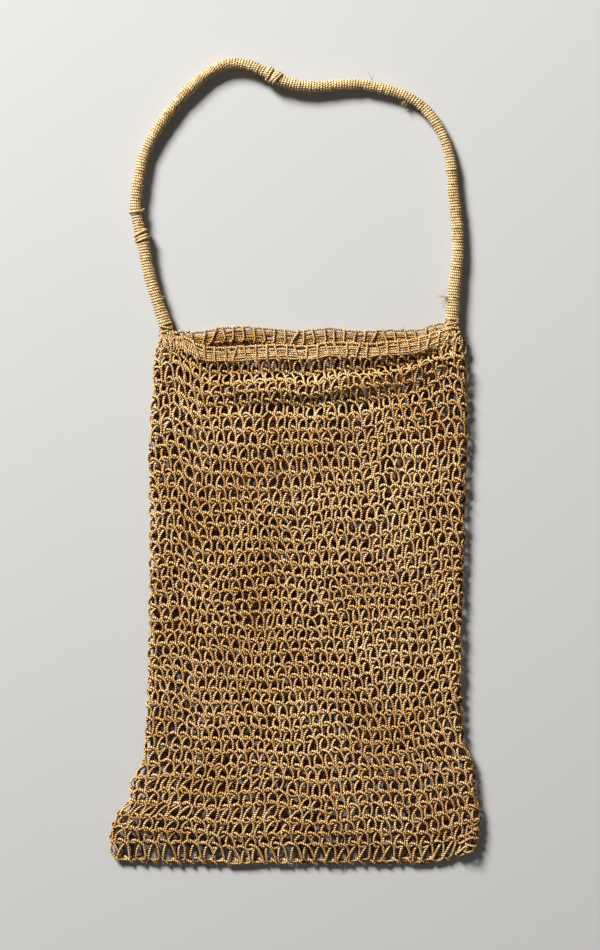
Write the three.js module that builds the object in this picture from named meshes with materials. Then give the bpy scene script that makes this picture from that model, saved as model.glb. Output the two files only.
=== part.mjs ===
// A looped string bag with a long wound handle, lying on its back.
//
// Millimetres. X runs across the bag to its right, Y up the bag from its closed bottom to the crest
// of its handle, and Z up from the surface that it lies on. The origin is the middle of the whole
// bag's outline, on that surface.

import * as THREE from 'three';

// Driving dimensions

const fit = 0.3; // space between pieces that touch
const wall = 3; // thickness of one face of the net
const hollow = 5.2; // clear height inside the flattened bag
const halfThick = wall + hollow / 2; // the flattened bag is a tube of this half thickness
const hemHalfThick = 3.4; // half thickness at the closed bottom
const hemTaper = 26; // length over which the bag thins to its bottom

const bandHeight = 9; // bound band round the mouth
const rimCord = 2.6; // diameter of the cord on top of the band
const hemCord = 3.2; // diameter of the cord along the bottom

const handleWidth = 11; // diameter of the wound handle
const lashingWall = 1.6; // one layer of twine

// Left and right edges of the flattened bag, as [height, across], from the mouth down.
const leftEdge = [
  [108, -115], [92, -120], [53, -122], [10, -125], [-32, -124], [-117, -124], [-202, -125.5],
  [-252, -129.5], [-272, -139], [-284, -141], [-297, -146], [-304, -152], [-315, -157.5],
  [-325, -157.5], [-336, -154],
];
const rightEdge = [
  [110, 140], [92, 143], [70, 145], [19, 146], [-32, 144], [-83, 142.5], [-151, 141],
  [-202, 140], [-243, 144], [-255, 150], [-288, 154], [-304, 157], [-319, 156], [-331, 151],
];

// The band's top edge at each corner, how far its front sags between them, and the back's wave.
const cornerHeight = [107.5, 109.5];
const frontSag = 11.5;
const backRise = 1.6;
const backWave = 2.2;
const hemHeight = -338.5; // the net's bottom edge at the middle
const hemLift = [3, 8]; // how much higher it is at its left and right ends

// Below the mouth the front face slumps into one soft fold: a trough, a ridge and a trough.
const faceLift = 1.2;
const foldRows = [
  { height: 82, rise: -0.9, reach: 7 },
  { height: 67, rise: 3.4, reach: 8 },
  { height: 53, rise: -1, reach: 8 },
];
const foldTilt = 0.06; // the fold climbs this much for each millimetre to the right
const foldClimb = { from: 60, bend: 0.0025 }; // and curves up to the right corner from here on

// The middle of the handle, from the left corner of the mouth over the crest to the right corner.
const handleRoute = [
  [-111.6, 120.6, 6.1], [-117.7, 137.7, 7], [-122.4, 152.7, 7.7], [-126.2, 168, 7.8],
  [-128.9, 183.6, 7.8], [-132.8, 198.8, 7.8], [-135.9, 214.2, 7.8], [-135.2, 229.9, 7.6],
  [-132.6, 245.5, 6.9], [-129.1, 260.8, 6], [-122.5, 275.1, 5.7], [-114.1, 288.4, 5.6],
  [-104.7, 301.1, 5.6], [-94.7, 313.2, 5.6], [-83.3, 324.1, 5.6], [-70.9, 333.7, 5.8],
  [-56.2, 339.2, 6.3], [-40.7, 337.8, 7], [-26.1, 331.8, 7.7], [-12.2, 324.5, 7.8],
  [3, 320.5, 7.2], [18.7, 319.5, 6.3], [34.4, 320.9, 5.7], [50.1, 321.7, 5.6],
  [65.7, 319.8, 5.6], [81, 316, 5.6], [95.8, 310.6, 5.6], [108.8, 301.8, 5.6],
  [118.9, 289.7, 5.6], [126.2, 275.8, 5.6], [130.9, 260.8, 5.6], [133.2, 245.2, 5.6],
  [134.4, 229.5, 5.6], [136.4, 213.9, 5.6], [137.8, 198.2, 5.6], [138.2, 182.4, 5.6],
  [137.2, 166.7, 5.6], [135.5, 151, 5.6], [134.1, 135.3, 5.8], [133, 120.6, 6.1],
];
const lowerLashing = { from: 67, to: 77 }; // distances along the handle from its left end
const upperLashing = { from: 93, to: 98 };
const splice = { from: 292, to: 304 };

const rootSpread = 7.4; // half width of the splayed strands where they meet the mouth
const rootFlatness = 0.75;

// Resolution

const facePanels = 18; // across each face
const handleSteps = 60;
const roundSides = 12;
const cordSides = 8;

// Curves of the bag

const mix = THREE.MathUtils.lerp;

// Reads an edge list at a height, straight between its points.
function edgeAt(edge, height) {
  let below = edge.findIndex(([h]) => h <= height);
  if (below === 0) return edge[0][1];
  if (below < 0) below = edge.length - 1;
  const [h0, x0] = edge[below - 1];
  const [h1, x1] = edge[below];
  return mix(x0, x1, THREE.MathUtils.clamp((height - h0) / (h1 - h0), 0, 1));
}

// Top edge of the band, at a share of the way across, on the front or the back.
function bandTop(across, onFront) {
  const corner = mix(cornerHeight[0], cornerHeight[1], across);
  const middle = 1 - Math.abs(2 * across - 1) ** 4;
  const wave = backRise + backWave * Math.cos(6 * across - 1.6);
  return corner + middle * (onFront ? -frontSag : wave);
}

function hemLine(across) {
  const end = across < 0.5 ? hemLift[0] : hemLift[1];
  return hemHeight + end * Math.abs(2 * across - 1) ** 6;
}

// How far the front face stands above the flattened tube.
function frontLift(x, y) {
  const climb = foldTilt * x + foldClimb.bend * Math.max(0, x - foldClimb.from) ** 2;
  const folds = foldRows.map(({ height, rise, reach }) => {
    return rise * Math.exp(-(((y - height - climb) / reach) ** 2));
  });
  return folds.reduce((sum, fold) => sum + fold, faceLift);
}

// One trip round the flattened bag: from its left edge over the front to the right edge, and back
// along the underside. `across` is the share of the width and `lean` the side of the tube, from 1
// on the front through 0 at an edge to -1 on the back.
function stationsRound() {
  const corner = Math.SQRT1_2;
  const over = [{ across: 0, lean: 0, out: -1 }, { across: 0, lean: corner, out: -corner }];
  for (let i = 0; i <= facePanels; i++) over.push({ across: i / facePanels, lean: 1, out: 0 });
  over.push({ across: 1, lean: corner, out: corner });
  const under = over.slice(1).reverse().map((at) => ({ ...at, lean: -at.lean }));
  return [...over, { across: 1, lean: 0, out: 1 }, ...under];
}
const stations = stationsRound();

// A point of the tube's wall. `heightOf(across, onFront)` is the height of its level.
function wallPoint({ across, lean, out }, heightOf, half, inset) {
  const y = mix(heightOf(across, false), heightOf(across, true), (1 + lean) / 2);
  const left = edgeAt(leftEdge, heightOf(0, true)) + half;
  const right = edgeAt(rightEdge, heightOf(1, true)) - half;
  const x = mix(left, right, across) + out * (half - inset);
  const lift = Math.max(lean, 0) * frontLift(x, y) * Math.min(1, (half - hemHalfThick) / 2);
  return [x, y, half + lean * (half - inset) + lift];
}

// Geometry

// Makes a closed body from rings of points: each ring joins the next, and `caps` lists the ends
// that are closed across from one face of the bag to the other.
function bodyOfRings(rings, closed, caps = []) {
  const count = rings[0].length;
  const index = [];
  const quad = (a, b, c, d) => index.push(a, b, c, a, c, d);
  const joins = closed ? rings.length : rings.length - 1;
  for (let r = 0; r < joins; r++) {
    const next = ((r + 1) % rings.length) * count;
    for (let i = 0; i < count; i++) {
      const j = (i + 1) % count;
      quad(r * count + j, r * count + i, next + i, next + j);
    }
  }
  for (const { ring, turned } of caps) {
    const at = (i) => ring * count + (i % count);
    for (let i = 0; i < count / 2; i++) {
      const corners = [at(i), at(i + 1), at(count - i - 1), at(count - i)];
      const [a, b, c, d] = turned ? corners.reverse() : corners;
      if (a !== b && b !== c && a !== c) index.push(a, b, c);
      if (a !== c && c !== d && a !== d) index.push(a, c, d);
    }
  }
  const geometry = new THREE.BufferGeometry();
  geometry.setAttribute('position', new THREE.Float32BufferAttribute(rings.flat(2), 3));
  geometry.setIndex(index);
  geometry.computeVertexNormals();
  return geometry;
}

function ringAt(heightOf, half, inset) {
  return stations.map((station) => wallPoint(station, heightOf, half, inset));
}

function netGeometry() {
  const topOf = (across, onFront) => bandTop(across, onFront) - bandHeight - fit;
  const level = (share) => (across, onFront) => mix(topOf(across, onFront), hemLine(across), share);
  const depth = topOf(0.5, true) - hemHeight;
  const near = [0, 5, 10, 15, 20, 25, 31, 38, 46, 60]; // close levels over the fold
  const below = Array.from({ length: 11 }, (unused, i) => 82 + 31 * i);
  const shares = [...near, ...below, depth - hemTaper / 3, depth].map((drop) => drop / depth);
  const halfAt = (share) => {
    const left = THREE.MathUtils.clamp(((1 - share) * depth) / hemTaper, 0, 1);
    return mix(hemHalfThick, halfThick, left);
  };
  const outer = shares.map((share) => ringAt(level(share), halfAt(share), 0));
  const inner = shares.slice(0, -1).map((share) => ringAt(level(share), halfAt(share), wall));
  const rings = [...inner.reverse(), ...outer];
  return bodyOfRings(rings, false, [{ ring: 0, turned: false }, { ring: rings.length - 1, turned: true }]);
}

function bandGeometry() {
  const level = (drop) => (across, onFront) => bandTop(across, onFront) - drop;
  const drops = [0, bandHeight / 2, bandHeight];
  const outer = drops.map((drop) => ringAt(level(drop), halfThick, 0));
  const inner = drops.map((drop) => ringAt(level(drop), halfThick, wall));
  return bodyOfRings([...inner.reverse(), ...outer], true);
}

// The rim cord is a round ring that follows the middle of the band's wall.
function rimCordGeometry() {
  const radius = rimCord / 2;
  const level = (across, onFront) => bandTop(across, onFront) + fit + radius;
  const middle = ringAt(level, halfThick, wall / 2);
  const rings = Array.from({ length: cordSides }, (unused, side) => {
    const turn = (2 * Math.PI * (side + 0.5)) / cordSides;
    return middle.map(([x, y, z], i) => {
      const out = radius * Math.cos(turn);
      return [x + out * stations[i].out, y - radius * Math.sin(turn), z + out * stations[i].lean];
    });
  });
  return bodyOfRings(rings, true);
}

function roundOutline(radius, sides) {
  return new THREE.Shape(
    Array.from({ length: sides }, (unused, side) => {
      const turn = (2 * Math.PI * (side + 0.5)) / sides;
      return new THREE.Vector2(radius * Math.cos(turn), radius * Math.sin(turn));
    }),
  );
}

function tubeGeometry(path, outline, steps) {
  return new THREE.ExtrudeGeometry(outline, { steps, bevelEnabled: false, extrudePath: path });
}

const handlePath = new THREE.CatmullRomCurve3(handleRoute.map((at) => new THREE.Vector3(...at)));

// A short sleeve of turns round the handle, between two distances along it.
function lashingGeometry({ from, to }) {
  const length = handlePath.getLength();
  const clear = (handleWidth / 2 + fit) / Math.cos(Math.PI / roundSides) + fit / 2;
  const outline = roundOutline(clear + lashingWall, roundSides);
  outline.holes.push(roundOutline(clear, roundSides));
  const stretch = new THREE.CatmullRomCurve3(
    [0, 0.5, 1].map((share) => handlePath.getPointAt(mix(from, to, share) / length)),
  );
  return tubeGeometry(stretch, outline, 2);
}

function hemCordGeometry() {
  const ends = [edgeAt(leftEdge, hemLine(0)), edgeAt(rightEdge, hemLine(1))];
  const points = Array.from({ length: 14 }, (unused, i) => {
    const across = i / 13;
    const y = hemLine(across) - fit - hemCord / 2;
    return new THREE.Vector3(mix(ends[0] + 2, ends[1] - 2, across), y, hemHalfThick);
  });
  return tubeGeometry(new THREE.CatmullRomCurve3(points), roundOutline(hemCord / 2, cordSides), 30);
}

// The splayed strands between an end of the handle and the corner of the mouth below it.
function rootGeometry(share, corner) {
  const end = handlePath.getPoint(share);
  const slant = handlePath.getTangent(share).setY(0).length();
  const foot = cornerHeight[corner] + rimCord + 2 * fit;
  const height = end.y - (slant * handleWidth) / 2 - fit - foot;
  const geometry = new THREE.CylinderGeometry(handleWidth / 2 - 1, rootSpread, height, roundSides);
  geometry.scale(1, 1, rootFlatness);
  geometry.translate(end.x, foot + height / 2, end.z);
  return geometry;
}

// Materials and pieces

function yarn(colour, roughness) {
  return new THREE.MeshStandardMaterial({ color: colour, roughness, metalness: 0 });
}

function piece(name, geometry, material) {
  const mesh = new THREE.Mesh(geometry, material);
  mesh.name = name;
  return mesh;
}

const bag = new THREE.Group();
bag.add(
  piece('net_bag', netGeometry(), yarn('#b8924f', 0.82)),
  piece('mouth_band', bandGeometry(), yarn('#bd9855', 0.82)),
  piece('mouth_cord', rimCordGeometry(), yarn('#c7a362', 0.8)),
  piece('bottom_cord', hemCordGeometry(), yarn('#ad8848', 0.85)),
  piece('handle', tubeGeometry(handlePath, roundOutline(handleWidth / 2, roundSides), handleSteps),
    yarn('#bf9c5e', 0.8)),
  piece('handle_splice', lashingGeometry(splice), yarn('#c9a667', 0.8)),
  piece('upper_lashing', lashingGeometry(upperLashing), yarn('#b39258', 0.82)),
  piece('lower_lashing', lashingGeometry(lowerLashing), yarn('#b39258', 0.82)),
  piece('left_root', rootGeometry(0, 0), yarn('#a98549', 0.85)),
  piece('right_root', rootGeometry(1, 1), yarn('#a98549', 0.85)),
);

export default bag;
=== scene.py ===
import math

import bpy
import numpy as np
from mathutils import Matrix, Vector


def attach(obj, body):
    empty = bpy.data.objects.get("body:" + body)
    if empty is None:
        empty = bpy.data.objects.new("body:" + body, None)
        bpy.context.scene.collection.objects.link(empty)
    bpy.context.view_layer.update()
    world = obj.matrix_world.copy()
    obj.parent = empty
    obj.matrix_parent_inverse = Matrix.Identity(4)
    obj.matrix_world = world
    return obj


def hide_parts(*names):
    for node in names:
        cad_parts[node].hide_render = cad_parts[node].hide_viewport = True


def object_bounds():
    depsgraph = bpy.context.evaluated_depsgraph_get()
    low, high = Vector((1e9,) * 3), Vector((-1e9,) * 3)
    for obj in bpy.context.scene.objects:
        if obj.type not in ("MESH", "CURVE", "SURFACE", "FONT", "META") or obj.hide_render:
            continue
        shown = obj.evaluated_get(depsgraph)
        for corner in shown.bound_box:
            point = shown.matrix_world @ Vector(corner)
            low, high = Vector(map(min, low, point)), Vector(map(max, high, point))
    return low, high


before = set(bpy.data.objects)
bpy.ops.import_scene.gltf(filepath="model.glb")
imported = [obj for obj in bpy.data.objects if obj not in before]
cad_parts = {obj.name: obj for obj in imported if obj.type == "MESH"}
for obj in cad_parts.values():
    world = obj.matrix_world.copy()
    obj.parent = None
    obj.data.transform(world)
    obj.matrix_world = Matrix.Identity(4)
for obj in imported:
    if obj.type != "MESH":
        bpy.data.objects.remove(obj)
cad_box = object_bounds()
MM = 0.001

# ---------------------------------------------------------------------------------------------
# Camera
# It stands far above the bag with a long lens and looks straight down. The bag lies on its back,
# with its handle laid out above its mouth.
# ---------------------------------------------------------------------------------------------
view_height = 807.5 * MM
view_centre = (3.8 * MM, -11 * MM)
focus_height = 8 * MM
lens, sensor = 90.0, 36.0

bpy.ops.object.camera_add(location=(*view_centre, view_height * lens / sensor + focus_height))
camera = bpy.context.object
camera.name = "camera"
camera.data.lens = lens
camera.data.sensor_width = sensor
camera.data.clip_end = 20
bpy.context.scene.camera = camera

# ---------------------------------------------------------------------------------------------
# Handle
# A bundle of core strands wound closely with two-ply twine from one corner of the mouth to the
# other. It is stiff enough to keep its bends, and lies on the surface almost all the way.
# ---------------------------------------------------------------------------------------------
handle_route = [
    (-110, 115.5, 6.6), (-117.7, 137.7, 7.2), (-122.4, 152.7, 7.8), (-126.2, 168, 8),
    (-128.9, 183.6, 8), (-132.8, 198.8, 8), (-135.9, 214.2, 8), (-135.2, 229.9, 7.8),
    (-132.6, 245.5, 7.1), (-129.1, 260.8, 6.2), (-122.5, 275.1, 5.8), (-114.1, 288.4, 5.7),
    (-104.7, 301.1, 5.7), (-94.7, 313.2, 5.7), (-83.3, 324.1, 5.7), (-70.9, 333.7, 5.9),
    (-56.2, 339.2, 6.4), (-40.7, 337.8, 7.1), (-26.1, 331.8, 7.8), (-12.2, 324.5, 7.9),
    (3, 320.5, 7.3), (18.7, 319.5, 6.4), (34.4, 320.9, 5.8), (50.1, 321.7, 5.7),
    (65.7, 319.8, 5.7), (81, 316, 5.7), (95.8, 310.6, 5.7), (108.8, 301.8, 5.7),
    (118.9, 289.7, 5.7), (126.2, 275.8, 5.7), (130.9, 260.8, 5.7), (133.2, 245.2, 5.9),
    (134.4, 229.5, 6), (136.4, 213.9, 6), (137.8, 198.2, 6), (138.2, 182.4, 6.1),
    (137.2, 166.7, 6.2), (135.5, 151, 6.3), (134.1, 135.3, 6.6), (133, 119, 7),
]
winding_twine = 2.35
winding_pitch = 2.36
# Outer radius of the winding, at distances along the handle from its left end.
handle_girth = [
    (0, 6.3), (8, 5.9), (18, 5.4), (50, 5.2), (72, 5.5), (90, 5.0), (140, 4.8), (200, 4.7),
    (260, 4.8), (292, 4.9), (306, 5.2), (340, 4.9), (400, 4.7), (470, 4.4),
    (492, 5.1), (540, 5.2), (580, 5.6), (606, 6.0), (622, 6.0),
]


def between(a, b, c, d, t):
    """Points of a smooth curve from b to c, with a before them and d after them."""
    return 0.5 * (2 * b + (c - a) * t + (2 * a - 5 * b + 4 * c - d) * t**2
                  + (3 * b - a - 3 * c + d) * t**3)


def distances(line):
    """How far along a line each of its points is."""
    return np.concatenate([[0], np.cumsum(np.linalg.norm(np.diff(line, axis=0), axis=1))])


def smooth_line(points, count):
    """Points at even distances along a smooth curve through the given ones."""
    p = np.array(points, float)
    p = np.vstack([2 * p[0] - p[1], p, 2 * p[-1] - p[-2]])
    t = np.linspace(0, 1, 12, endpoint=False)[:, None, None]
    line = between(*(p[i:len(p) - 3 + i][None] for i in range(4)), t)
    line = np.vstack([line.transpose(1, 0, 2).reshape(-1, 3), p[-2]])
    gone = distances(line)
    at = np.linspace(0, gone[-1], count)
    return np.stack([np.interp(at, gone, line[:, k]) for k in range(3)], 1)


def unit(v):
    return v / np.maximum(np.linalg.norm(v, axis=-1, keepdims=True), 1e-12)


def full_turn(steps):
    return 2 * math.pi * np.arange(steps) / steps


def strand(points, away, radius, closed=False, sides=6, start=0.0):
    """One length of twine: its middle line, a direction off to one side, and its radius, in mm."""
    points = np.asarray(points, float)
    away = np.broadcast_to(np.asarray(away, float), points.shape)
    radius = np.broadcast_to(np.asarray(radius, float), len(points)).copy()
    return dict(points=points, away=away, radius=radius, closed=closed, sides=sides, start=start)


def twine_piece(name, strands, finish, replaces=()):
    """Makes one mesh of strands, with a map of metres along the twine and turns round it."""
    places, quads, along, rounds, cells, ends = [], [], [], [], [], []
    first, cell = 0, 0
    run = 24  # faces along the twine in one cell of the closing map
    for s in strands:
        p, sides, n = s["points"], s["sides"], len(s["points"])
        if s["closed"]:
            forward = unit(np.roll(p, -1, 0) - np.roll(p, 1, 0))
        else:
            forward = unit(np.gradient(p, axis=0))
            s["radius"][[0, -1]] *= 0.6  # the cut ends narrow a little
        out = unit(s["away"] - (s["away"] * forward).sum(1, keepdims=True) * forward)
        side = np.cross(forward, out)
        turn = full_turn(sides)[None, :, None]
        around = np.cos(turn) * out[:, None] + np.sin(turn) * side[:, None]
        places.append((p[:, None] + s["radius"][:, None, None] * around).reshape(-1, 3))
        gone = s["start"] + distances(np.vstack([p, p[:1]]))
        steps = n if s["closed"] else n - 1
        i, k = np.meshgrid(np.arange(steps), np.arange(sides), indexing="ij")
        here, ahead, m = i * sides, (i + 1) % n * sides, (k + 1) % sides
        quads.append(first + np.stack([here + k, here + m, ahead + m, ahead + k], -1).reshape(-1, 4))
        along.append(np.stack([gone[i], gone[i], gone[i + 1], gone[i + 1]], -1).reshape(-1, 4) * MM)
        rounds.append((np.stack([k, k + 1, k + 1, k], -1) / sides).reshape(-1, 4))
        cells.append(np.stack([cell + i // run, i % run, k, np.full_like(k, sides)], -1).reshape(-1, 4))
        if not s["closed"]:
            ends += [first + np.arange(sides)[::-1], first + (n - 1) * sides + np.arange(sides)]
        cell += math.ceil(steps / run)
        first += n * sides
    places, quads = np.vstack(places), np.vstack(quads)
    places[:, 2] = np.maximum(places[:, 2], 0)  # nothing sinks into the surface
    along, rounds, cells = np.vstack(along), np.vstack(rounds), np.vstack(cells)
    mesh = bpy.data.meshes.new(name)
    corners = np.concatenate([quads.ravel(), *ends]).astype(np.int32)
    counts = np.concatenate([np.full(len(quads), 4), [len(e) for e in ends]]).astype(np.int32)
    starts = np.concatenate([[0], np.cumsum(counts)[:-1]]).astype(np.int32)
    mesh.vertices.add(len(places))
    mesh.vertices.foreach_set("co", (places * MM).astype(np.float32).ravel())
    mesh.loops.add(len(corners))
    mesh.loops.foreach_set("vertex_index", corners)
    mesh.polygons.add(len(counts))
    mesh.polygons.foreach_set("loop_start", starts)
    mesh.update(calc_edges=True)
    mesh.polygons.foreach_set("use_smooth", np.ones(len(counts), bool))

    def add_map(map_name, x, y, rest):
        layer = mesh.uv_layers.new(name=map_name)
        flat = np.vstack([np.stack([x.ravel(), y.ravel()], 1), rest])
        layer.uv.foreach_set("vector", flat.astype(np.float32).ravel())

    end_corners = len(corners) - quads.size
    add_map("twine", along, rounds, np.zeros((end_corners, 2)))
    # The closing map lays each run of faces in a cell of its own, unrolled, with none overlapping.
    cell_shape, margin_x, margin_y = 5, 0.02, 0.06
    down = max(1, math.ceil(math.sqrt(cell * cell_shape)))
    over = math.ceil(cell / down)
    number, step, place, sides = cells.T[:, :, None]
    x = number % over + margin_x + (1 - 2 * margin_x) * (step + np.array([0, 0, 1, 1])) / run
    y = number // over + margin_y + (1 - 2 * margin_y) * (place + np.array([0, 1, 1, 0])) / sides
    rest = np.random.default_rng(5).random((end_corners, 2)) * 0.004
    add_map("OFBake", x / over, y / down, rest)
    mesh.materials.append(finish)
    piece = bpy.data.objects.new(name, mesh)
    bpy.context.collection.objects.link(piece)
    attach(piece, "root")
    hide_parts(*replaces)
    return piece


class Value:
    """A number in a material. Python's operators add the Math nodes that work it out."""

    def __init__(self, tree, socket):
        self.tree, self.socket = tree, socket

    def math(self, operation, *values):
        return added(self.tree, "ShaderNodeMath", {"operation": operation}, dict(enumerate(values)))

    def __add__(self, other):
        return self.math("ADD", self, other)

    def __sub__(self, other):
        return self.math("SUBTRACT", self, other)

    def __rsub__(self, other):
        return self.math("SUBTRACT", other, self)

    def __mul__(self, other):
        return self.math("MULTIPLY", self, other)

    def __pow__(self, other):
        return self.math("POWER", self, other)

    def __abs__(self):
        return self.math("ABSOLUTE", self)

    def cosine(self):
        return self.math("COSINE", self)

    __radd__, __rmul__ = __add__, __mul__


def added(tree, kind, settings=None, inputs=None, output=0):
    """Adds one node, sets its settings, then feeds its sockets with values or links."""
    node = tree.nodes.new(kind)
    for key, value in (settings or {}).items():
        if key == "stops":
            stops = node.color_ramp.elements
            for place, colour in value[1:-1]:
                stops.new(place).color = (*colour, 1)
            for stop, (place, colour) in ((stops[0], value[0]), (stops[-1], value[-1])):
                stop.position, stop.color = place, (*colour, 1)
        else:
            setattr(node, key, value)
    for key, value in (inputs or {}).items():
        if isinstance(value, Value):
            tree.links.new(value.socket, node.inputs[key])
        else:
            node.inputs[key].default_value = value
    return Value(tree, node.outputs[output])


def twine_finish(name, shade, middle, light, lay=4.0, painted_shade=0.8, groove_shade=0.75):
    """Dry two-ply plant-fibre twine: twisted plies, fine fibres and uneven tone. Painted shade darkens the
    grooves between the plies, painted highlight lightens their crowns, and painted shade darkens the side
    of each strand turned away from its outward direction."""
    material = bpy.data.materials.new(name)
    material.use_nodes = True
    tree = material.node_tree
    shader = tree.nodes["Principled BSDF"]
    shader.inputs["Specular IOR Level"].default_value = 0.25
    whole_turn = 2 * math.pi

    def noise(vector, scale, detail, roughness=0.5):
        return added(tree, "ShaderNodeTexNoise", {}, {
            "Vector": vector, "Scale": scale, "Detail": detail, "Roughness": roughness})

    place = added(tree, "ShaderNodeUVMap", {"uv_map": "twine"})
    along = added(tree, "ShaderNodeSeparateXYZ", {}, {0: place}, output=0)
    turn = added(tree, "ShaderNodeSeparateXYZ", {}, {0: place}, output=1)
    twist = turn - along * (1 / (lay * MM))
    ply = abs((twist * whole_turn).cosine())
    fibres = noise(added(tree, "ShaderNodeCombineXYZ", {}, {0: along * 260, 1: twist * 9, 2: turn * 2}),
                   1.0, 3.0, 0.6)
    # Painted shade on the side of the strand turned away from its outward direction (turn 0).
    shaded_side = 0.5 - (turn * whole_turn).cosine() * 0.5
    body = added(tree, "ShaderNodeTexCoord", output=3)
    patches = noise(body, 16.0, 3.0, 0.55)
    specks = noise(body, 330.0, 2.0)
    uneven = (patches - 0.5) * 0.5 + (specks - 0.5) * 0.9 + (fibres - 0.5) * 0.4
    # The tone carries painted shade in the ply grooves, painted highlight on the ply crowns and painted
    # shade on the inner side; the noise terms are the twine's own uneven tone.
    tone = uneven + (ply ** 1.4 - 0.45) * groove_shade - shaded_side * painted_shade + 0.43
    stops = [(0.08, shade), (0.5, middle), (0.95, light)]
    colour = added(tree, "ShaderNodeValToRGB", {"stops": stops}, {"Fac": tone})
    rough = 0.92 - ply * 0.12 - fibres * 0.1
    bump = added(tree, "ShaderNodeBump", {}, {
        "Height": ply ** 0.7 + fibres * 0.35, "Distance": 0.7 * MM, "Strength": 0.9})
    for socket, value in (("Base Color", colour), ("Roughness", rough), ("Normal", bump)):
        tree.links.new(value.socket, shader.inputs[socket])
    return material


handle_finish = twine_finish("wound_twine", (0.13, 0.052, 0.01), (0.7, 0.485, 0.215), (0.95, 0.83, 0.6),
                             lay=3.4, painted_shade=0.45, groove_shade=0.4)
handle_line = smooth_line(handle_route, 1300)
handle_gone = distances(handle_line)
handle_length = handle_gone[-1]
up = np.array([0.0, 0.0, 1.0])


def on_handle(distance):
    """Middle of the handle at a distance along it, and its sideways and upward directions."""
    near = 1.5  # its direction is taken between points this far to either side
    middle, ahead, behind = (
        np.stack([np.interp(distance + step, handle_gone, handle_line[:, k]) for k in range(3)], -1)
        for step in (0, near, -near))
    forward = unit(ahead - behind)
    sideways = unit(np.cross(forward, up))
    return middle, sideways, np.cross(sideways, forward)


def handle_radius(distance):
    return np.interp(distance, *zip(*handle_girth))


def slow_noise(seed, at, waves, reach):
    """A smooth wandering number from -1 to 1 along a line, the same on every run."""
    draw = np.random.default_rng(seed)
    total = np.zeros(np.shape(at))
    for size in reach:
        for _ in range(waves):
            total = total + np.sin(at / size * 2 * math.pi * draw.uniform(0.7, 1.3) + draw.uniform(0, 6.3))
    return total / (waves * len(reach)) ** 0.5 / 1.2


turns = int((handle_length - 2) / winding_pitch)
per_turn = 16
wind = np.arange(turns * per_turn) / per_turn
draw = np.random.default_rng(31)
turn_shift = np.interp(wind, np.arange(turns + 1), draw.normal(0, 0.17, turns + 1))
turn_swell = np.interp(wind, np.arange(turns + 1), draw.normal(0, 0.14, turns + 1))
angle = 2 * math.pi * wind
gone = 1.2 + wind * winding_pitch + 0.5 * turn_shift + 0.25 * np.sin(angle + 0.6)
middle, sideways, upward = on_handle(gone)
radial = np.cos(angle)[:, None] * sideways + np.sin(angle)[:, None] * upward
radius = handle_radius(gone) - winding_twine / 2 + turn_swell
winding = strand(middle + radial * radius[:, None], radial, winding_twine / 2 * (1 + 0.4 * turn_swell))
core_at = np.linspace(0.5, handle_length - 0.5, 150)
middle, sideways, upward = on_handle(core_at)
core = strand(middle, upward, handle_radius(core_at) - winding_twine * 0.62, sides=12)
handle = twine_piece("handle_winding", [winding, core], handle_finish, ["handle"])


def wrap(start, pitch, lean, turns_round, proud, thick, phase):
    """Turns of twine over the winding, each slanting across the handle by `lean` to either side."""
    t = np.linspace(0, turns_round, int(turns_round * 22))
    a = 2 * math.pi * t + phase
    at = start + t * pitch + lean * np.cos(a)
    middle, sideways, upward = on_handle(at)
    out = np.cos(a)[:, None] * sideways + np.sin(a)[:, None] * upward
    sunk = 1.4 * (1 - np.minimum(1, 5 * np.minimum(t, turns_round - t)))  # both ends tuck under
    return strand(middle + out * (handle_radius(at) + proud - sunk)[:, None], out, thick)


def ring(at, lean, proud, thick):
    """One closed turn over the winding."""
    turn = full_turn(28)
    middle, sideways, upward = on_handle(at + lean * np.cos(turn))
    out = np.cos(turn)[:, None] * sideways + np.sin(turn)[:, None] * upward
    return strand(middle + out * (handle_radius(at) + proud), out, thick, closed=True)


def eye(at, angle, long, high):
    """A small loop of twine that stands on the side of the handle."""
    turn = full_turn(20)
    middle, sideways, upward = on_handle(np.array([at - 1, at + 1]))
    ahead = unit(middle[1] - middle[0])
    out = math.cos(angle) * sideways[0] + math.sin(angle) * upward[0]
    across = np.cross(ahead, out)
    centre = middle.mean(0) + out * (handle_radius(at) - 0.2)
    line = (centre + ahead * (long * np.cos(turn))[:, None] + across * (high * np.sin(turn))[:, None]
            + out * (0.8 * np.abs(np.sin(turn)))[:, None])
    return strand(line, out, 0.95, closed=True)


def tail(at, angle, toward, long):
    """The free end of a lashing: it leaves the side of the handle and sticks out a little."""
    middle, sideways, upward = on_handle(np.array([at]))
    out = math.cos(angle) * sideways[0] + math.sin(angle) * upward[0]
    t = np.linspace(0, 1, 8)[:, None]
    line = middle[0] + out * handle_radius(at) * 0.85 + unit(np.array(toward, float)) * long * t
    return strand(line + [0, 0, 0.6] * np.sin(3 * t), up, 0.55 - 0.2 * t[:, 0])


# Each of these turns is placed by its distance along the handle.
upper = twine_piece(
    "upper_lashing_turns",
    [ring(100.6, lean=-0.1, proud=-0.05, thick=1.35), tail(100.6, 0.2, toward=(3, 2, 0.4), long=4.6)],
    handle_finish, ["upper_lashing"])
lower = twine_piece(
    "lower_lashing_turns",
    [wrap(75.2, pitch=2.4, lean=1.3, turns_round=2.1, proud=0.25, thick=1.1, phase=-1.2),
     ring(82.2, lean=1.5, proud=0.2, thick=1.1), tail(77.5, 0.2, toward=(3, 1, 0.4), long=4.2)],
    handle_finish, ["lower_lashing"])
splice = twine_piece(
    "splice_turns",
    [wrap(293.6, pitch=2.2, lean=0.4, turns_round=2.1, proud=0.3, thick=1.15, phase=0.5),
     wrap(299.2, pitch=2.5, lean=-1.5, turns_round=2.2, proud=0.35, thick=1.2, phase=2.5),
     eye(298.0, -0.1, long=3.2, high=1.5)],
    handle_finish, ["handle_splice"])

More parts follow.
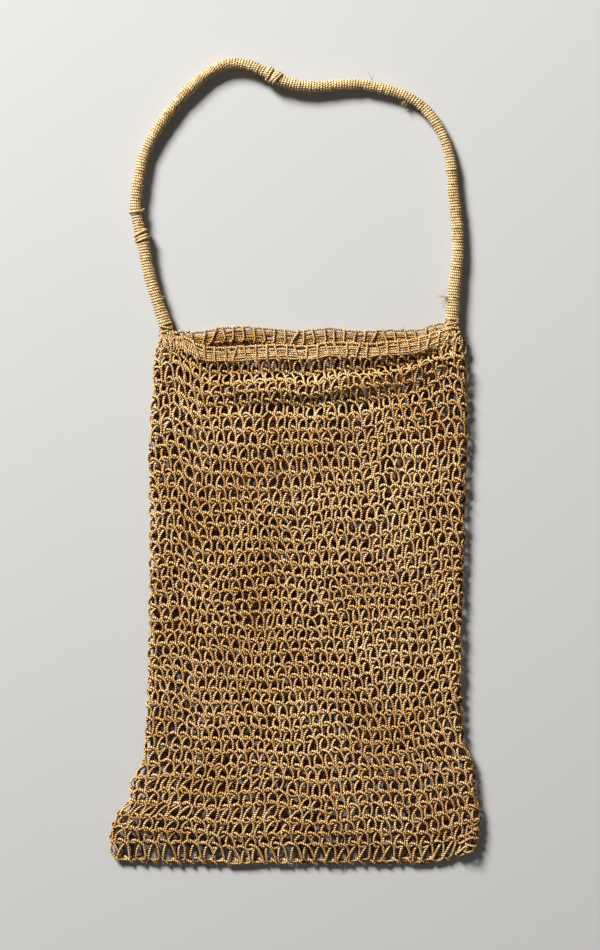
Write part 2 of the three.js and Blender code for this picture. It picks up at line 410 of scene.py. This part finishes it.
# ---------------------------------------------------------------------------------------------
# Mouth
# The band is five laid-in strands with a heavier cord above them, all bound together by a stitch
# at every loop of the net. It is one ring, and its front sags a little below its back.
# ---------------------------------------------------------------------------------------------
twine = 2.12
face_width = 255.0
face_gap = 5.7  # height of the flattened bag's middle
half = 3.4  # from that middle to the middle of either face of the net
face_lift = 1.2  # how much further up the front face stands
rim_half = 2.8  # from the bag's middle to the middle of the band
rim_lift = 4.2  # how far the front of the band stands open between its corners
rim_ends = (104, 106)  # heights of the band's left and right ends
stitches_round = 60
# Outline of the net, as height and distance across, from the mouth down.
left_edge = [
    (110, -110), (100, -116.5), (92, -118.5), (53, -120.5), (10, -123.5), (-32, -122.5),
    (-117, -122.5), (-202, -124), (-236, -126), (-258, -129.5), (-268, -133), (-275, -138.5),
    (-290, -140), (-302, -150.5), (-316, -156.5), (-326, -156), (-340, -153.5),
]
right_edge = [
    (112, 138), (100, 140.5), (92, 141), (70, 143.5), (19, 144.5), (-32, 142.5), (-83, 141),
    (-151, 139.5), (-202, 138.5), (-243, 142.5), (-255, 148.5), (-288, 152.5), (-304, 155.5),
    (-319, 154.5), (-333, 149),
]
# Top of the band, as distance across and height.
front_rim = [
    (-116, 107), (-107, 110.5), (-99, 109.3), (-88, 102.4), (-76.5, 97.4), (-62, 96.6),
    (-38, 97.7), (-12, 99.2), (5, 98), (17, 98.7), (28, 100.8), (46, 100.8), (63, 100.1),
    (80, 101.6), (95, 102.8), (109, 106), (118, 109.8), (130, 113.4), (141, 111),
]
back_rim = [
    (-116, 107), (-107, 110), (-96, 110.4), (-85, 110.2), (-76, 111.2), (-66, 113.5),
    (-48, 114.8), (-30, 113.7), (-5, 111.7), (6, 111.4), (16, 112.8), (33, 113.1), (48, 111.2),
    (63, 111), (76, 112), (103, 112), (112, 114.3), (120, 117), (132, 117.5), (141, 112),
]


def edge_at(edge, height):
    heights, across = zip(*edge)
    return np.interp(-np.asarray(height), -np.array(heights), across)


def rim_at(rim, x):
    points = smooth_line([(*p, 0) for p in rim], 200)
    return np.interp(x, points[:, 0], points[:, 1])


def round_bag(share):
    """A share of the way round the flattened bag from its left edge: how far across it, and its side."""
    arc = math.pi * half / 2
    knots = np.cumsum([0, arc, face_width, 2 * arc, face_width, arc])
    at = (share % 1) * knots[-1]
    quarter = math.pi / 2
    across = np.interp(at, knots, [0, 0, 1, 1, 0, 0])
    side = np.interp(at, knots, [2 * quarter, quarter, quarter, -quarter, -quarter, -2 * quarter])
    return across, np.cos(side), np.sin(side)


def on_rim(share, drop, out):
    """A point of the mouth band, at a drop below its cord and a distance out from its middle."""
    across, sideways, lean = round_bag(np.asarray(share, float))
    left = edge_at(left_edge, rim_ends[0]) + rim_half
    right = edge_at(right_edge, rim_ends[1]) - rim_half
    x = left + (right - left) * across
    front = (1 + lean) / 2
    y = front * rim_at(front_rim, x) + (1 - front) * rim_at(back_rim, x) - drop
    open_lift = 0.8 + rim_lift * (1 - np.abs(2 * across - 1) ** 8)
    z = face_gap + lean * (rim_half + out) + np.maximum(lean, 0) * open_lift
    return np.stack([x + sideways * (rim_half + out), y, z], -1), np.stack([sideways, 0 * x, lean], -1)


band_finish = twine_finish("band_twine", (0.14, 0.045, 0.004), (0.53, 0.28, 0.068), (0.95, 0.76, 0.45),
                           painted_shade=0.2, groove_shade=0.7)
rings = 720
round_share = np.arange(rings) / rings
laid_strands, laid_radius, first_drop, strand_pitch = 5, 0.9, 3.4, 1.86
laid = []
for row in range(laid_strands):
    wave = slow_noise(60 + row, round_share * rings / 2, 3, (18, 40))
    wave = wave * np.minimum(1, 8 * np.minimum(round_share, 1 - round_share))
    drop = first_drop + strand_pitch * row + 0.6 * wave
    line, away = on_rim(round_share, drop, 0.25 + 0.45 * np.cos(row * 2.1 + 2 * wave))
    laid.append(strand(line, away, laid_radius * (1 + 0.08 * wave), closed=True, start=37.0 * row))
draw = np.random.default_rng(77)
turn = full_turn(28)
up_down, in_out = np.cos(turn), np.sin(turn)
stitch_phase = 0.62  # where each stitch stands in its share of the way round
stitch_middle, stitch_reach, stitch_depth = 5.7, 6.6, 1.75  # down the band, and through it
binding = []
for stitch in range(stitches_round):
    share = (stitch + stitch_phase + draw.uniform(-0.1, 0.1)) / stitches_round
    slant = draw.normal(0.0, 0.17) / stitches_round
    bow = draw.normal(0.0, 0.07) / stitches_round
    kick = draw.uniform(0.1, 0.4) / stitches_round
    drop = stitch_middle - stitch_reach * np.sign(up_down) * np.abs(up_down) ** 0.8
    drop = drop + draw.uniform(-0.3, 0.3)
    low = np.clip((drop - 9.5) / 3, 0, 1)
    sway = slant * (drop - 5) / 6 + kick * low + bow * np.cos(drop / 3)
    line, away = on_rim(share + sway, drop, stitch_depth * np.sign(in_out) * np.abs(in_out) ** 0.6)
    # Each stitch's outward direction points away from the band, so the finish paints shade on the side of
    # the stitch that lies against the band.
    inward = up_down[:, None] * np.array([0, 1.0, 0]) + in_out[:, None] * away
    binding.append(strand(line, inward, draw.uniform(0.78, 0.9), closed=True, start=60.0 + 31 * stitch))
twine_piece("mouth_band_strands", laid + binding, band_finish, ["mouth_band"])
scallop = 0.7 * np.cos(2 * math.pi * (round_share * stitches_round - stitch_phase))
wave = slow_noise(91, round_share * rings / 2, 3, (15, 45))
line, away = on_rim(round_share, 0.45 * scallop + 0.3 * wave, 0.0)
twine_piece("mouth_edge_cord", [strand(line, away, 1.05, closed=True)], band_finish,
            ["mouth_cord"])

# ---------------------------------------------------------------------------------------------
# Net
# Looped in the round from one twine: each loop hangs from the row above, its right leg in front at
# the crossing, and hooks the next row. Below the mouth the front face slumps into a soft fold.
# ---------------------------------------------------------------------------------------------
rows = 39
row_drift = 0.33  # each row's loops start this share of a loop further round than the row above
hem_row = 1.2  # the last row is this much taller than the others
hem_height = -340
hem_lift = (3, 8)  # how far its left and right ends curve up
hem_half = 1.2  # the two faces draw together to this at the bottom
net_top = (96.5, 98.5)  # heights of the net's top at its left and right edges
middle_edges = (-122, 142)  # its left and right edges half way down
band_depth = 11.8
under = 2.7  # clear height under the lower face
folded_rows = 6
# One loop, from behind the foot of the loop above: share across, share down, and depth in radii.
loop = np.array([
    (-0.82, -0.05, -1.0), (-0.63, -0.20, -0.4), (-0.44, -0.25, 0.7), (-0.21, -0.16, 1.25),
    (0.02, -0.01, 1.15), (0.17, 0.13, 0.9), (0.25, 0.36, 0.5), (0.27, 0.60, -0.3),
    (0.24, 0.80, -1.0), (0.10, 0.94, -0.9), (-0.10, 1.02, 0.0), (-0.30, 1.01, 0.7),
    (-0.44, 0.90, 0.9), (-0.49, 0.70, 0.8), (-0.45, 0.46, 0.5), (-0.32, 0.22, -0.2),
    (-0.11, 0.06, -1.0),
])
# One loop of the last row: its legs stand wide and its foot is drawn out along the bottom edge.
hem_loop = np.array([
    (-0.82, -0.05, -1.0), (-0.63, -0.20, -0.4), (-0.44, -0.25, 0.7), (-0.21, -0.16, 1.25),
    (0.02, -0.01, 1.15), (0.16, 0.14, 0.9), (0.26, 0.38, 0.6), (0.33, 0.62, 0.3),
    (0.39, 0.84, 0.0), (0.32, 0.97, -0.6), (-0.05, 1.00, -0.9), (-0.38, 0.98, -0.3),
    (-0.46, 0.84, 0.6), (-0.42, 0.62, 0.8), (-0.35, 0.40, 0.6), (-0.23, 0.18, 0.0),
    (-0.07, 0.05, -1.0),
])
# How far down the first rows lie on the front, and how high they stand, at places across it.
fold_places = (0.06, 0.22, 0.45, 0.65, 0.8, 0.89, 0.95)
fold_drop = [
    (0, 7.5, 15, 28, 38, 48.5, 60), (0, 9.5, 19, 27.5, 37.5, 48, 59.5),
    (0, 12, 20.5, 29, 39, 51, 62.5), (0, 11, 17, 27, 38, 49.5, 61), (0, 8, 14.5, 24, 33, 42.5, 54),
    (0, 5, 11, 22, 33, 44, 55), (0, 6, 13, 21, 33, 44.5, 56),
]
fold_rise = [
    (1.6, 0.4, 1.8, 1.8, 1, 1.2, 1.2), (2.8, -1.2, 3.8, 2.8, -0.2, 1.2, 1.2),
    (3.6, -2.4, 5.2, 4.4, -1.8, 1.2, 1.2), (3.8, -2.6, 6, 4.6, -1.8, 1.2, 1.2),
    (3.8, -2.6, 6.6, 3.4, -0.6, 1.2, 1.2), (3.4, -2.6, 6.6, 2.6, 0.6, 1.2, 1.2),
    (2, -1.8, 5.2, 2, 1.2, 1.2, 1.2),
]
draw = np.random.default_rng(11)
bulges = draw.uniform(0.2, 2.4, rows + 3)  # how far each row's edge stands out at the sides


def folded(table, across, row):
    """Reads a table of the first rows at a place across, blending between the places."""
    columns = np.stack([np.interp(row, np.arange(folded_rows + 1), line) for line in table])
    weight = np.interp(across, fold_places, np.arange(len(table)))
    low = np.clip(weight.astype(int), 0, len(table) - 2)
    pick = np.take_along_axis(columns, low[None], 0)[0]
    other = np.take_along_axis(columns, low[None] + 1, 0)[0]
    blend = weight - low
    return pick + (other - pick) * blend * blend * (3 - 2 * blend)


def hem_line(across):
    """Height of the bottom edge at a share of the way across."""
    return hem_height + np.where(across < 0.5, *hem_lift) * np.abs(2 * across - 1) ** 6


def on_net(around, row):
    """A point of the net's middle surface: loops round from the left edge, and rows down."""
    across, sideways, lean = round_bag(around / stitches_round)
    hem = hem_line(across)
    taper = 2.2  # rows over which the faces draw together
    flat = half + (hem_half - half) * np.clip((row - rows + taper) / taper, 0, 1)
    down = np.clip(row / rows, 0, 1.02)
    edges = [edge_at(edge, top + (hem_height + lift - top) * down)
             for edge, top, lift in zip((left_edge, right_edge), net_top, hem_lift)]
    left, right = middle_edges
    flare = 2.2  # how closely the flare keeps to the edges
    x = (left + flat + (right - left - 2 * flat) * across + (edges[0] - left) * (1 - across) ** flare
         + (edges[1] - right) * across ** flare)
    front_top, back_top = rim_at(front_rim, x) - band_depth, rim_at(back_rim, x) - band_depth
    even = rows - 1 + hem_row
    counted = np.where(row > rows - 1, rows - 1 + (row - rows + 1) * hem_row, row)
    early = np.minimum(row, folded_rows)
    whole = folded(fold_drop, across, np.full_like(row, float(folded_rows)))
    lower = whole + (front_top - hem - whole) * (counted - folded_rows) / (even - folded_rows)
    y_front = front_top - np.where(row < folded_rows, folded(fold_drop, across, early), lower)
    y_back = back_top + (hem - back_top) * counted / even
    front = (1 + lean) / 2
    lift = np.where(row < folded_rows, folded(fold_rise, across, early), face_lift)
    lift = lift * (flat - hem_half) / (half - hem_half)
    z = flat + under + lean * flat + np.maximum(lean, 0) * lift
    bulge = np.interp(row, np.arange(rows + 3), bulges) * (0.5 - 0.5 * np.cos(2 * math.pi * row))
    return np.stack([x + sideways * (flat + bulge), front * y_front + (1 - front) * y_back, z], -1)


def wander(seed, around, row, size, count):
    """A smooth two-way wandering of the net, closed round the bag and faded at both ends."""
    draw = np.random.default_rng(seed)
    total = np.zeros_like(around)
    for _ in range(count):
        turns_round, turns_down = draw.integers(1, 9), draw.uniform(-5, 5)
        total += np.sin(2 * math.pi * (turns_round * around / stitches_round + turns_down * row / rows)
                        + draw.uniform(0, 6.3))
    fade = np.clip(row / 2.5, 0, 1) * np.clip((rows + 0.2 - row) / 2, 0, 1)
    return total * size / count ** 0.5 * fade


points_per_loop = 24
draw = np.random.default_rng(2024)
uneven_rows = 1 + draw.normal(0, 0.08, rows) * (np.arange(rows) > folded_rows)
row_height = np.concatenate([[0], np.cumsum(uneven_rows)])
first_free = folded_rows + 1
stretch = (rows - first_free) / (row_height[-1] - row_height[first_free])
row_height[first_free:] = first_free + (row_height[first_free:] - row_height[first_free]) * stretch
each_loop = (stitches_round, 1)
net_strands = []
for row in range(rows):
    shape = (hem_loop if row == rows - 1 else loop)[None].repeat(stitches_round, 0)
    foot = np.clip(shape[:, :, 1], 0, 1)
    wide = draw.normal(0, 0.16, each_loop)
    hang = draw.normal(0, 0.08, each_loop)
    shape[:, :, 0] += (shape[:, :, 0] + 0.07) * wide * foot + draw.normal(0, 0.06, each_loop)
    shape[:, :, 0] += draw.normal(0.03, 0.13, each_loop) * foot
    shape[:, :, 1] += hang * foot + draw.normal(0, 0.05, each_loop)
    shape[:, :, 2] += draw.normal(0, 0.15, each_loop)
    if row == rows - 1:
        shape[:, :, 0] += foot * draw.normal(0, 0.12, each_loop)
    shape[:, :, 0] += np.arange(stitches_round)[:, None] + row_drift * row
    shape[:, :, 1] += row
    control = shape.reshape(-1, 3)
    lap = np.array([stitches_round, 0, 0])
    padded = np.vstack([control[-1] - lap, control, control[0] + lap, control[1] + lap])
    at = np.arange(stitches_round * points_per_loop) / points_per_loop * len(loop)
    i = at.astype(int)
    line = between(padded[i], padded[i + 1], padded[i + 2], padded[i + 3], (at - i)[:, None])
    down = np.interp(line[:, 1], np.arange(-1, rows + 2), [-1, *row_height, rows + 1])
    around = line[:, 0] + wander(7, line[:, 0], down, 0.16, 7)
    down = down + wander(8, line[:, 0], down, 0.2, 7)
    here = on_net(around, down)
    step = 0.05
    normal = unit(np.cross(on_net(around + step, down) - here, here - on_net(around, down + step)))
    radius = twine / 2 * (1 + 0.06 * slow_noise(200 + row, np.arange(len(line)) * 1.9, 3, (25, 60)))
    here = here + normal * (line[:, 2:3] * twine / 2)
    # The outward normal leads each net strand, so the finish paints shade on the side of the twine turned
    # into the bag.
    net_strands.append(strand(here, normal, radius, closed=True, start=80.0 * row))

net_finish = twine_finish("net_twine", (0.14, 0.04, 0.002), (0.53, 0.27, 0.055), (0.95, 0.77, 0.45))
net_parts = (("net_upper_rows", 0, 10), ("net_upper_middle_rows", 10, 20),
             ("net_lower_middle_rows", 20, 30), ("net_lower_rows", 30, rows))
for name, first, last in net_parts:
    net = twine_piece(name, net_strands[first:last], net_finish, ["net_bag"])

# ---------------------------------------------------------------------------------------------
# Bottom edge
# The feet of the last row, front and back together, are closed by one twine that runs along the
# edge and a second that whips round it, with a small point below each foot.
# ---------------------------------------------------------------------------------------------
edge_twine, edge_middle = 0.95, 3.5  # radius of its twine, and its height above the surface
left = edge_at(left_edge, hem_height + hem_lift[0]) + hem_half
right = edge_at(right_edge, hem_height + hem_lift[1]) - hem_half
across = np.linspace(0, 1, 420)
x = left + (right - left) * across
y = hem_line(across) + 0.5 * slow_noise(301, x, 3, (40, 90))
straight = np.stack([x, y, edge_middle + 0 * x], 1)
whips, points_per_whip = 29, 24
whip_reach, whip_height, point_reach = 1.75, 1.9, 1.3  # half its width, half its height, its points
across = np.linspace(0, 1, whips * points_per_whip)
turn = 2 * math.pi * whips * across
point = np.clip(np.sin(turn), 0, 1) ** 3
x = left + (right - left) * (across + 0.28 / whips / 6.28 * np.sin(turn))
y = np.interp(x, straight[:, 0], straight[:, 1]) + 0.5 - whip_reach * np.sin(turn) - point_reach * point
whip = np.stack([x, y, edge_middle + whip_height * np.cos(turn)], 1)
# The right corner is mended with a few turns over its last loops: height, slope and half length.
mend_turns = (
    (-307, 0.5, 4), (-311, -0.2, 6), (-314.5, 0.35, 7.5), (-318, -0.3, 5.5), (-321.5, 0.15, 8),
    (-325, -0.35, 5), (-328, 0.4, 7.5), (-330.5, 0.1, 4.5),
)
turn = full_turn(36)
inward, rise = np.cos(turn), np.sign(np.sin(turn)) * np.abs(np.sin(turn)) ** 0.5
mends = []
for height, slope, long in mend_turns:
    x = edge_at(right_edge, height) + 0.8 - long + long * inward
    y = (height + slope * long * inward + 1.1 * np.sin(2 * turn + height)
         + 0.6 * np.sin(3 * turn + 2 * height))
    line = np.stack([x, y, 6.4 + 4.1 * rise], 1)
    mends.append(strand(line, unit(line - line.mean(0)), 0.92, closed=True, start=-9 * height))
edge = [strand(straight, up, edge_twine), strand(whip, up, edge_twine, start=400.0)]
twine_piece("bottom_edge_twine", edge + mends, net_finish, ["bottom_cord"])

# ---------------------------------------------------------------------------------------------
# Roots of the handle
# Below each end of the winding the core strands splay out, run over the corner of the mouth on
# both faces and are worked into the net.
# ---------------------------------------------------------------------------------------------
root_finish = twine_finish("core_twine", (0.13, 0.04, 0.004), (0.52, 0.265, 0.058), (0.95, 0.76, 0.45),
                           painted_shade=0.6)
lowest = 0.95  # no strand's middle lies lower than its own radius


def root_strands(end, feet_x, feet_y, count, bars, seed):
    """Strands that leave the winding, cross a little and end in the net, and short turns over them."""
    draw = np.random.default_rng(seed)
    made = []
    for k in range(count):
        share = (k + draw.uniform(0, 1)) / count
        face = 1 if k % 3 else -1
        around = draw.uniform(0.2, 0.8) * math.pi * face
        top = np.array(end) + [9.8 * share - 4.9, draw.uniform(1, 4), 3.6 * math.sin(around)]
        share = np.clip(share + draw.normal(0, 0.12), 0, 1)
        # Strands thin out in height towards the bag's side.
        edge = 1 - max(0, 1 - 7 * min(share, 1 - share)) if feet_x[0] < 0 else 1 - max(0, 7 * share - 6)
        low = np.array([feet_x[0] + (feet_x[1] - feet_x[0]) * share, draw.uniform(*feet_y), face_gap])
        low[2] += face * (half + 1.7 + draw.uniform(-0.5, 0.9)) * edge + max(face, 0) * face_lift
        sway = [draw.normal(0, 0.8), 0, face * draw.uniform(0.4, 1.6)]
        middle = top + (low - top) * [0.3, 0.5, 0.5] + sway
        end_tuck = low + [draw.normal(0, 1.2), -3, -face * 3]
        line = smooth_line([top, top + [0, -4, 0], middle, low + [0, 4, 0], low, end_tuck], 34)
        line[:, 0] += 0.55 * slow_noise(seed + k, np.arange(34) * 1.0, 3, (7, 13))
        line[:, 2] = np.maximum(line[:, 2], lowest)
        made.append(strand(line, [0, 0, face], draw.uniform(0.72, 0.95), start=50.0 * k))
    turn = full_turn(20)[:, None]
    for x, y, angle, long, face in bars:
        across = np.array([math.cos(math.radians(angle)), math.sin(math.radians(angle)), 0])
        centre = np.array([x, y, face_gap + face * (half + 1.2) + max(face, 0) * face_lift])
        line = centre + across * (long * np.cos(turn)) + up * (1.7 * np.sin(turn))
        line[:, 2] = np.maximum(line[:, 2], lowest)
        made.append(strand(line, unit(line - centre), 0.88, closed=True, start=9 * x))
    return made


# Short turns and knots over the strands: across, height, angle, half length, side of the bag.
left_bars = [
    (-110, 114.2, -14, 5, 1), (-110.8, 110.8, 12, 3, 1), (-107, 108.5, -28, 2.8, 1),
    (-101.5, 109.5, 8, 3.0, 1), (-96.5, 110.6, -12, 2.6, 1), (-92, 110, 30, 2.2, 1),
    (-104, 103.5, 62, 2.8, 1), (-99, 104.5, -40, 3.0, 1), (-114.5, 103.5, 74, 3.0, 1),
    (-109.5, 101, -64, 2.6, 1), (-108, 108, 5, 4.2, -1), (-101, 104, -20, 3.2, -1),
]
right_bars = [
    (133, 117.4, 10, 5.2, 1), (135, 113.6, -14, 3.4, 1), (129.5, 112.5, 16, 3.2, 1),
    (124, 110.5, 24, 3.0, 1), (137, 108.5, 40, 2.8, 1), (131, 107.5, -22, 3.2, 1),
    (126, 106, 62, 2.6, 1), (133.5, 102.5, 70, 3.0, 1), (134, 110, 5, 4.2, -1),
    (128, 105, 20, 3.2, -1),
]
left_strands = root_strands(handle_line[0], (-118.6, -93), (91, 101), 20, left_bars, 500)
right_strands = root_strands(handle_line[-1], (117, 144), (92, 104), 20, right_bars, 600)
# One strand of the right root stands out at the side as a long loop.
turn = full_turn(30)
side_loop = np.stack([138.6 + 2.7 * np.cos(turn) + 0.6 * np.sin(turn), 101 + 6.8 * np.sin(turn),
                      9.6 + 0.9 * np.cos(turn)], 1)
right_strands.append(strand(side_loop, up, 0.85, closed=True))
twine_piece("left_root_strands", left_strands, root_finish, ["left_root"])
twine_piece("right_root_strands", right_strands, root_finish, ["right_root"])

# ---------------------------------------------------------------------------------------------
# Loose fibres
# Plant fibre sheds: short hairs stand off the net and the winding, and where a twine was joined in
# its frayed end sticks out as a small tuft. One long hair hangs below the bottom edge.
# ---------------------------------------------------------------------------------------------
fibre_finish = twine_finish("loose_fibre", (0.5, 0.33, 0.14), (0.8, 0.6, 0.33), (1.0, 0.86, 0.6),
                            painted_shade=0.0, groove_shade=0.1)


def fibre(draw, base, toward, long, thick, curl=0.5):
    """One loose fibre that leaves its base along a direction and curls as it goes."""
    t = np.linspace(0, 1, 8)[:, None]
    sideways = unit(np.cross(toward, draw.normal(0, 1, 3)))
    bent = sideways * (curl * long * (t**2 + 0.25 * np.sin(t * draw.uniform(2, 6))))
    line = base + unit(toward) * long * t + bent
    line[:, 2] = np.maximum(line[:, 2], 0.2)
    return strand(line, sideways + 0.01, thick * (1.1 - 0.8 * t[:, 0]), sides=3)


draw = np.random.default_rng(808)
net_hair_count, handle_hair_count = 620, 260
net_hairs = []
for _ in range(net_hair_count):
    source = net_strands[draw.integers(rows)]
    at = draw.integers(len(source["points"]))
    away = source["away"][at]
    outward = away * draw.uniform(0.1, 1.0) + draw.normal(0, 0.7, 3)
    net_hairs.append(fibre(draw, source["points"][at] + away * 0.8, outward, draw.uniform(1.5, 5), 0.1))
net_hairs.append(fibre(draw, np.array([48, -341, 4.0]), np.array([-14, -9, 0.2]), long=17,
                       thick=0.2, curl=0.3))
twine_piece("net_loose_fibres", net_hairs, fibre_finish, ["net_bag"])
handle_hairs = []
for _ in range(handle_hair_count):
    at = draw.integers(len(winding["points"]))
    outward = winding["away"][at] + draw.normal(0, 0.6, 3)
    handle_hairs.append(fibre(draw, winding["points"][at], outward, draw.uniform(2, 4.5), 0.09))
# Tufts: base, direction, how many fibres, their length and how far they fan out.
tufts = [
    ((94, 306.5, 6.5), (-3.6, -3.4, 0.5), 16, 5.0, 0.4),
    ((129.5, 139.5, 8), (-4.2, -0.2, 0.4), 20, 7.5, 0.45),
    ((65.5, 324.5, 7), (-1.4, 4, 0.6), 3, 8, 0.25),
    ((-113.5, 139, 8), (3.4, 2.6, 0.5), 3, 6, 0.12),
    ((-107.5, 123, 8), (3, -2.6, 0.4), 2, 6, 0.1),
    ((-128.5, 166, 7), (-4, 1, 0.4), 3, 3.6, 0.3),
    ((91, 112, 4), (0.4, 4, 0.5), 3, 6.5, 0.4),
]
for base, toward, count, long, fan in tufts:
    for _ in range(count):
        leaving = unit(np.array(toward, float)) + draw.normal(0, fan, 3)
        start = np.array(base) + draw.normal(0, 0.5, 3)
        handle_hairs.append(fibre(draw, start, leaving, long * draw.uniform(0.6, 1.2), 0.24, 0.8))
twine_piece("handle_loose_fibres", handle_hairs, fibre_finish, ["handle"])

# ---------------------------------------------------------------------------------------------
# Floor and light
# A plain pale surface with a faint even light all round. One soft lamp stands up to the left, and
# a weak second one fills the shadows from the right.
# ---------------------------------------------------------------------------------------------
bpy.ops.mesh.primitive_plane_add(size=8, location=(0, 0, -0.2 * MM))
floor = bpy.context.object
floor.name = "floor"
floor_finish = bpy.data.materials.new("pale_surface")
floor_finish.use_nodes = True
floor_shader = floor_finish.node_tree.nodes["Principled BSDF"]
floor_shader.inputs["Base Color"].default_value = (0.43, 0.425, 0.41, 1)
floor_shader.inputs["Roughness"].default_value = 0.9
floor.data.materials.append(floor_finish)

world = bpy.data.worlds.new("studio")
world.use_nodes = True
background = world.node_tree.nodes["Background"]
background.inputs["Color"].default_value = (1.0, 0.98, 0.95, 1)
background.inputs["Strength"].default_value = 0.07
bpy.context.scene.world = world


def lamp(name, place, size, power):
    """A square lamp that faces the middle of the bag."""
    bpy.ops.object.light_add(type="AREA", location=place)
    light = bpy.context.object
    light.name = name
    light.data.size = size
    light.data.energy = power
    light.rotation_euler = light.location.to_track_quat("Z", "Y").to_euler()


lamp("key_light", (-2.1, 3.0, 2.4), size=1.2, power=500)
lamp("fill_light", (1.4, -0.8, 1.8), size=1.6, power=3.5)
bpy.context.scene.view_settings.view_transform = "Standard"

low, high = cad_box
